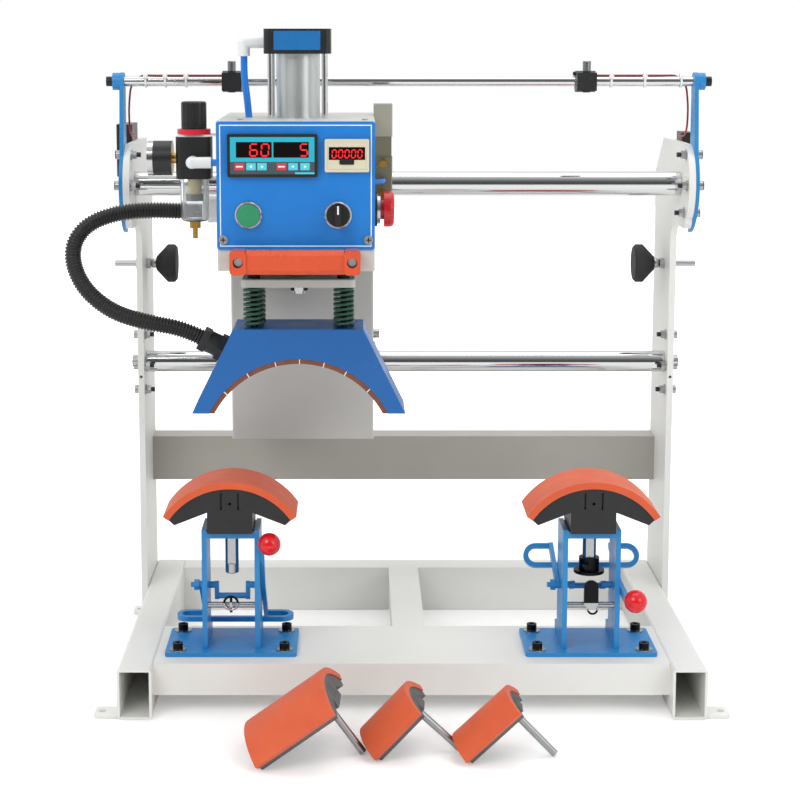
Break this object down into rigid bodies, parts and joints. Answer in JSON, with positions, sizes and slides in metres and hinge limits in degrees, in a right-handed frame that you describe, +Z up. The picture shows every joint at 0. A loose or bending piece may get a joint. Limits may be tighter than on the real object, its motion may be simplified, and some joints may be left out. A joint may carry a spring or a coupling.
{
  "type": "cap heat press",
  "caption": "Pneumatic cap heat press: an arched heated platen on a head that slides on guide rods between curved cap stations, with loose spare platens.",
  "frame": {"origin": "centre of the four floor-tab holes, on the floor plane", "axes": "+Z up, -Y towards the operator at the front, +X to the operator's right along the guide rods"},
  "size_m": [0.79, 0.5954, 0.7905],
  "materials": {
    "aluminium": "anodised, satin",
    "black_plastic": "matt moulded plastic",
    "black_rubber": "matt rubber",
    "black_steel": "blackened steel",
    "blue_paint": "mid blue powder coat",
    "blue_tube": "blue air tube",
    "cast_block": "cast, heat darkened",
    "chrome_rod": "ground and hard chromed",
    "clear_bowl": "clear moulded bowl",
    "cream_plastic": "cream bezel",
    "cyan_overlay": "printed overlay",
    "green_plastic": "glossy green cap",
    "green_spring": "dark green enamel",
    "grey_paint": "light grey powder coat",
    "handle_orange": "glossy orange moulding",
    "heater_copper": "brown heat resistant sheet",
    "orange_silicone": "matt silicone sheet",
    "panel_blue": "printed blue overlay, satin",
    "platen_core": "dark cast core",
    "red_ball": "glossy red ball",
    "red_plastic": "glossy red moulding",
    "station_blue": "lighter blue powder coat",
    "valve_metal": "cast and tarnished",
    "white_paint": "off-white powder coat, light satin",
    "white_plastic": "white push-in fitting with brass parts",
    "wire_red": "thin red lead",
    "zinc_steel": "zinc plated, semi bright"
  },
  "bodies": {
    "frame": {"side_tubes": "white_paint", "front_beam": "white_paint", "rear_beam": "white_paint", "centre_beam": "white_paint", "floor_tabs": "white_paint", "uprights": "white_paint", "mid_rail": "white_paint", "guide_rods": "chrome_rod", "frame_bolts": "zinc_steel", "bumper_studs": "zinc_steel", "bumper_pads": "black_rubber", "laser_arms": "station_blue", "laser_rod": "chrome_rod", "laser_boxes": "black_plastic", "laser_wires": "wire_red", "station_frames": "station_blue", "station_hardware": "black_steel", "spare_pads": "orange_silicone", "spare_platens": "platen_core"},
    "carriage": {"carriage_column": "grey_paint", "rod_bushings": "zinc_steel", "carriage_screws": "zinc_steel", "head_shell": "grey_paint", "front_panel": "panel_blue", "controller": "cyan_overlay", "counter": "cream_plastic", "control_rings": "zinc_steel", "handle": "handle_orange", "cylinder_caps": "black_steel", "cylinder_barrel": "aluminium", "regulator_body": "black_plastic", "regulator_bowl": "clear_bowl", "regulator_core": "black_plastic", "air_fittings": "white_plastic", "air_tubes": "blue_tube", "air_valve": "valve_metal", "hose": "black_rubber"},
    "green_button": {"green_button": "green_plastic"},
    "selector": {"selector_knob": "black_plastic"},
    "estop": {"estop_button": "red_plastic"},
    "counter_key": {"counter_key": "black_plastic"},
    "regulator_knob": {"regulator_knob": "black_plastic"},
    "heat_platen": {"platen_cover": "blue_paint", "heat_block": "cast_block", "heater_strip": "heater_copper", "guide_bolts": "black_steel", "springs": "green_spring", "hose_gland": "black_plastic"},
    "ram": {"ram_plate": "grey_paint", "piston_rod": "chrome_rod"},
    "left_laser": {"left_laser_clamp": "black_steel"},
    "right_laser": {"right_laser_clamp": "black_steel"},
    "left_lever": {"left_lever": "station_blue", "left_lever_ball": "red_ball"},
    "right_lever": {"right_lever": "station_blue", "right_lever_ball": "red_ball"},
    "left_platen": {"left_platen": "platen_core", "left_pad": "orange_silicone"},
    "right_platen": {"right_platen": "platen_core", "right_pad": "orange_silicone"}
  },
  "joints": [
    {"name": "carriage_slide", "type": "slide", "parent": "frame", "child": "carriage", "axis": [1, 0, 0], "range_m": [-0.081, 0.343]},
    {"name": "press_stroke", "type": "slide", "parent": "carriage", "child": "heat_platen", "axis": [0, 0, -1], "range_m": [0, 0.08]},
    {"name": "spring_float", "type": "slide", "parent": "heat_platen", "child": "ram", "axis": [0, 0, -1], "range_m": [0, 0.01], "stiffness_N_per_m": 6000, "springref_m": -0.003, "deforming": ["springs"]},
    {"name": "button_press", "type": "slide", "parent": "carriage", "child": "green_button", "axis": [0, 1, 0], "range_m": [0, 0.003], "stiffness_N_per_m": 400, "springref_m": -0.002},
    {"name": "selector_turn", "type": "hinge", "parent": "carriage", "child": "selector", "pos_m": [-0.0845, -0.224, 0.5875], "axis": [0, 1, 0], "range_deg": [-45, 45]},
    {"name": "estop_press", "type": "slide", "parent": "carriage", "child": "estop", "axis": [-1, 0, 0], "range_m": [0, 0.004]},
    {"name": "counter_key_press", "type": "slide", "parent": "carriage", "child": "counter_key", "axis": [0, 1, 0], "range_m": [0, 0.001], "stiffness_N_per_m": 100, "springref_m": -0.001},
    {"name": "regulator_turn", "type": "hinge", "parent": "carriage", "child": "regulator_knob", "pos_m": [-0.251, -0.12, 0.69], "axis": [0, 0, 1], "continuous": true},
    {"name": "left_laser_aim", "type": "hinge", "parent": "frame", "child": "left_laser", "pos_m": [-0.216, 0.025, 0.727], "axis": [1, 0, 0], "range_deg": [-30, 30]},
    {"name": "right_laser_aim", "type": "hinge", "parent": "frame", "child": "right_laser", "pos_m": [0.216, 0.025, 0.727], "axis": [1, 0, 0], "range_deg": [-30, 30]},
    {"name": "left_lever_swing", "type": "hinge", "parent": "frame", "child": "left_lever", "pos_m": [-0.212, -0.12, 0.135], "axis": [1, 0, 0], "range_deg": [0, 60]},
    {"name": "right_lever_swing", "type": "hinge", "parent": "frame", "child": "right_lever", "pos_m": [0.212, -0.12, 0.135], "axis": [1, 0, 0], "range_deg": [-60, 0]},
    {"name": "left_platen_lift", "type": "slide", "parent": "frame", "child": "left_platen", "axis": [0, 0, 1], "range_m": [0, 0.045]},
    {"name": "right_platen_lift", "type": "slide", "parent": "frame", "child": "right_platen", "axis": [0, 0, 1], "range_m": [0, 0.045]}
  ]
}
